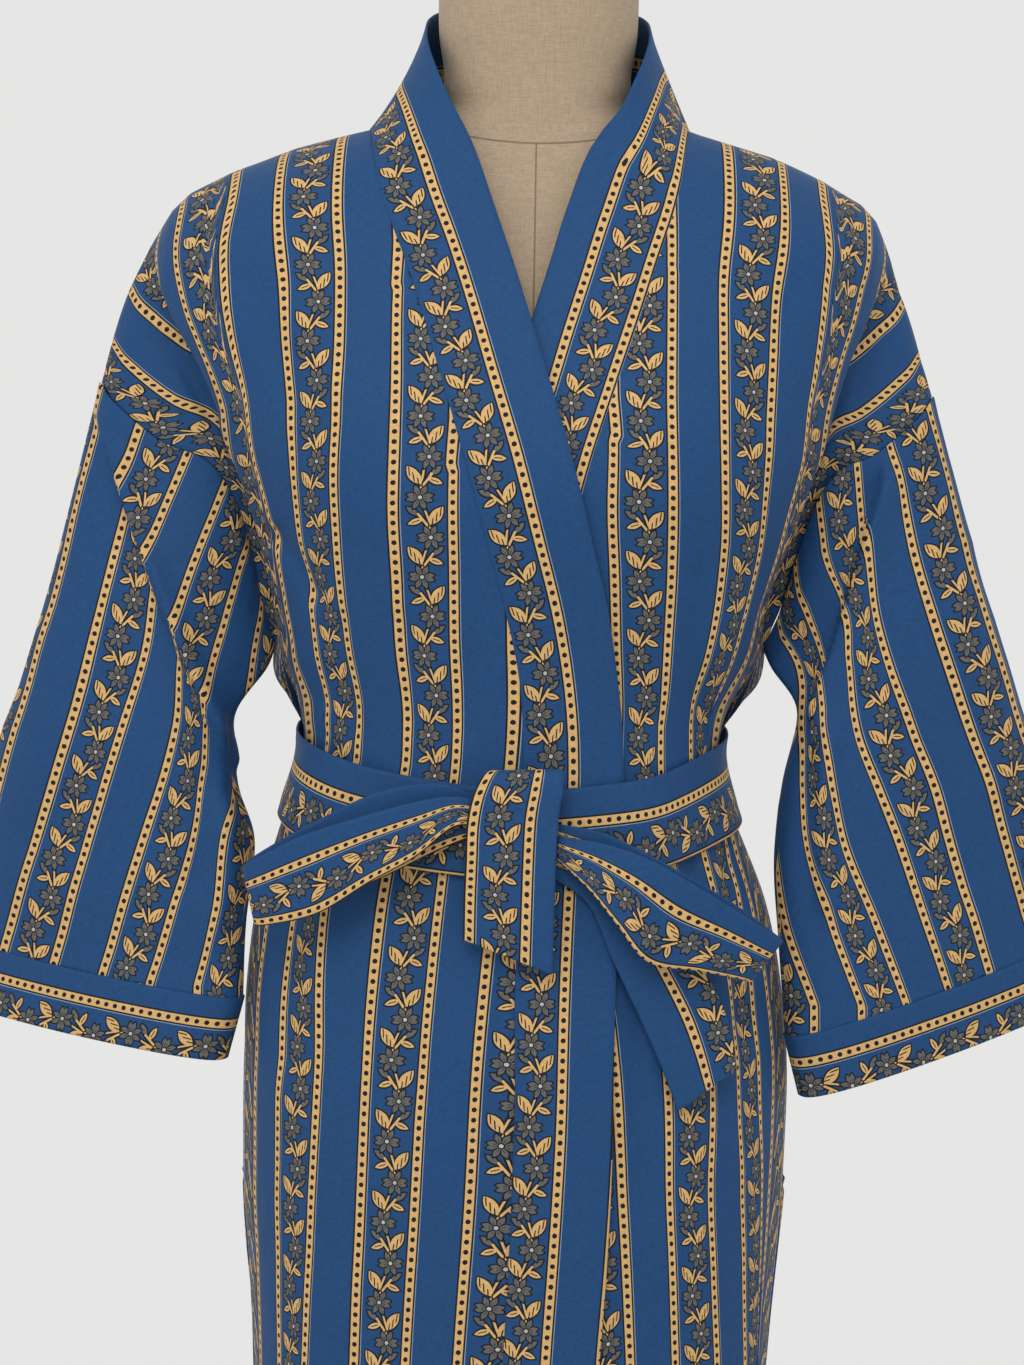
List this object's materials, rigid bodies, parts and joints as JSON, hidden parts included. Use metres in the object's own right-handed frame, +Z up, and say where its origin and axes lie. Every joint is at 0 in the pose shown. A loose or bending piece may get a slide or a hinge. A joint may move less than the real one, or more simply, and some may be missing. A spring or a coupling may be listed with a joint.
{
  "type": "kimono robe on a limbless dress form",
  "caption": "Wrap-front cotton kimono robe with wide banded sleeves, long neckband and tied belt, worn on a limbless padded dress form with a pole and round base.",
  "frame": {"origin": "centre of the round base's underside, on the floor", "axes": "+Z up along the pole, -Y towards the front of the robe, +X towards the wearer's left"},
  "size_m": [0.6944, 0.33, 1.516],
  "materials": {
    "printed_cotton": "matte printed cotton",
    "linen_cover": "woven beige linen cover",
    "dark_wood": "satin lacquer",
    "dark_metal": "satin black paint"
  },
  "bodies": {
    "root": {"back": "printed_cotton", "front_right": "printed_cotton", "front_left": "printed_cotton", "neckband_right": "printed_cotton", "neckband_left": "printed_cotton", "sleeve_right": "printed_cotton", "sleeve_left": "printed_cotton", "cuff_right": "printed_cotton", "cuff_left": "printed_cotton", "belt": "printed_cotton", "belt_knot": "printed_cotton", "bow_centre_tail": "printed_cotton", "bow_left_loop": "printed_cotton", "bow_right_loop": "printed_cotton", "bow_right_tail": "printed_cotton", "form_torso": "linen_cover", "form_neck_cap": "dark_wood", "stand_pole": "dark_metal", "stand_base": "dark_metal"}
  },
  "joints": []
}
